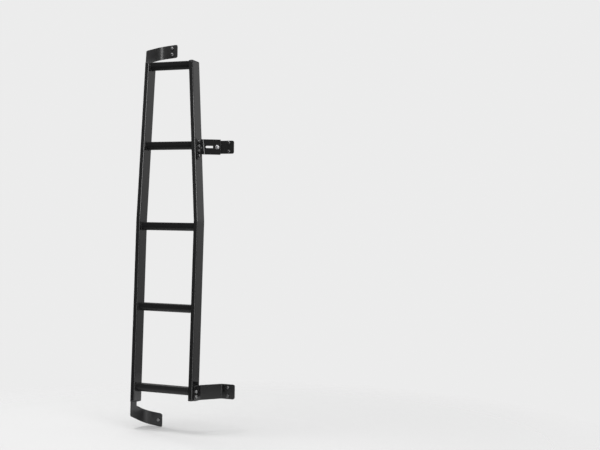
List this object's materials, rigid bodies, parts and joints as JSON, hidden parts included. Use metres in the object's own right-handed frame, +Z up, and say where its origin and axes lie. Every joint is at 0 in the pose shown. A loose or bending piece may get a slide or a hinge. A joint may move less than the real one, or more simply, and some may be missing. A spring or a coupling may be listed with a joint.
{
  "type": "van rear door ladder",
  "caption": "Narrow black ladder for a van's rear door: bent, tapering tube rails, ribbed rungs and folded brackets that bolt to the door edge and hinges.",
  "frame": {"origin": "middle of the lower hinge bracket's flange, on the face that lies against the door hinge, between its two bolt holes", "axes": "+X to the right seen from behind the vehicle, +Y forward into the door, +Z up"},
  "size_m": [0.4255, 0.2067, 1.6499],
  "materials": {
    "frame_coat": "satin-gloss black powder coat",
    "rung_coat": "satin black powder coat",
    "bracket_coat": "gloss black powder coat",
    "end_cap": "moulded, fine grain",
    "bolt_steel": "bright stainless"
  },
  "bodies": {
    "root": {"left_rail": "frame_coat", "right_rail": "frame_coat", "left_rail_top_cap": "end_cap", "right_rail_top_cap": "end_cap", "left_rail_foot_cap": "end_cap", "right_rail_foot_cap": "end_cap", "rung_1": "rung_coat", "rung_2": "rung_coat", "rung_3": "rung_coat", "rung_4": "rung_coat", "rung_5": "rung_coat", "top_door_bracket": "bracket_coat", "bottom_door_bracket": "bracket_coat", "lower_hinge_bracket": "bracket_coat", "upper_hinge_arm": "bracket_coat", "upper_hinge_plate": "bracket_coat"}
  },
  "joints": []
}
